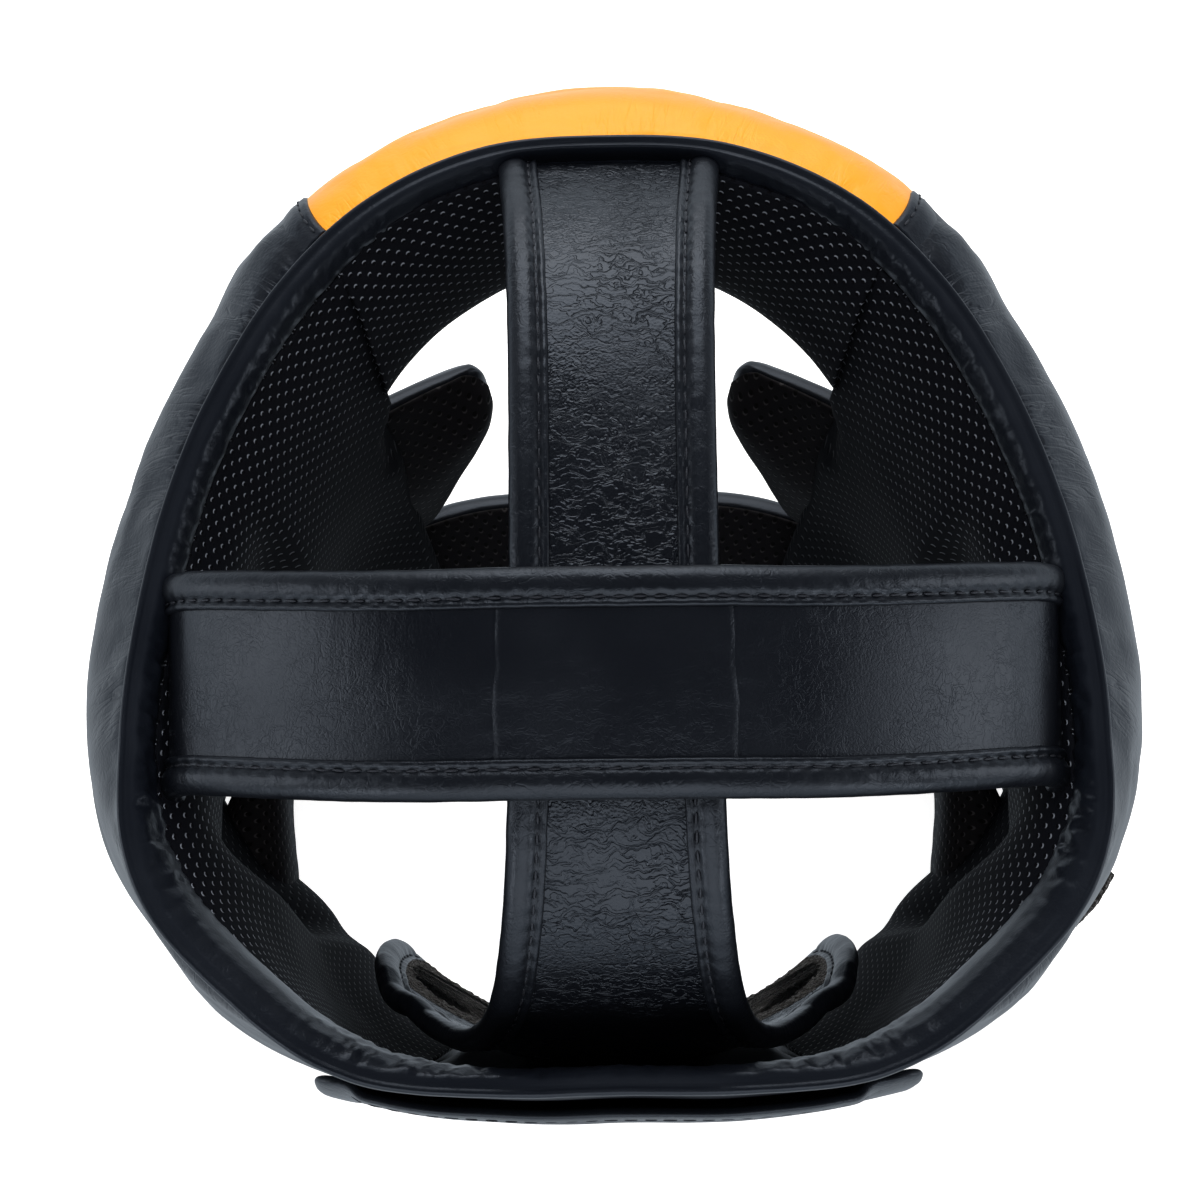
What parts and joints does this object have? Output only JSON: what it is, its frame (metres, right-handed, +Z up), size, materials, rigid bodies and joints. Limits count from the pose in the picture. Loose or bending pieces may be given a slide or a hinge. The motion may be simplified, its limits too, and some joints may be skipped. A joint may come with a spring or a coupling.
{
  "type": "full face boxing headgear",
  "caption": "Padded leather boxing headgear with forehead panel, cheek and chin guards, perforated lining, crossed crown straps and a rear closing strap.",
  "frame": {"origin": "on the table, under the middle of the headgear's box", "axes": "+Z up toward the crown, -Y where the face looks, +X the wearer's left"},
  "size_m": [0.2468, 0.2438, 0.2534],
  "materials": {
    "black_leather": "semi-gloss, fine creases",
    "orange_leather": "semi-gloss, smooth",
    "lining": "matte, perforated",
    "pile": "fuzzy hook and loop tape"
  },
  "bodies": {
    "root": {"forehead_pad": "orange_leather", "forehead_lining": "lining", "chin_guard": "black_leather", "chin_lining": "lining", "rear_panel": "black_leather", "rim_binding": "black_leather", "closure_strap": "black_leather", "top_strap": "black_leather", "cross_strap": "black_leather", "cross_strap_front_binding": "black_leather", "cross_strap_rear_binding": "black_leather", "hook_tab": "pile", "left_side_pad": "black_leather", "left_side_lining": "lining", "left_cheek_guard": "black_leather", "left_cheek_lining": "lining", "left_ear_pad": "lining", "top_strap_left_binding": "black_leather", "left_loop_patch": "pile", "right_side_pad": "black_leather", "right_side_lining": "lining", "right_cheek_guard": "black_leather", "right_cheek_lining": "lining", "right_ear_pad": "lining", "top_strap_right_binding": "black_leather", "right_loop_patch": "pile"}
  },
  "joints": []
}
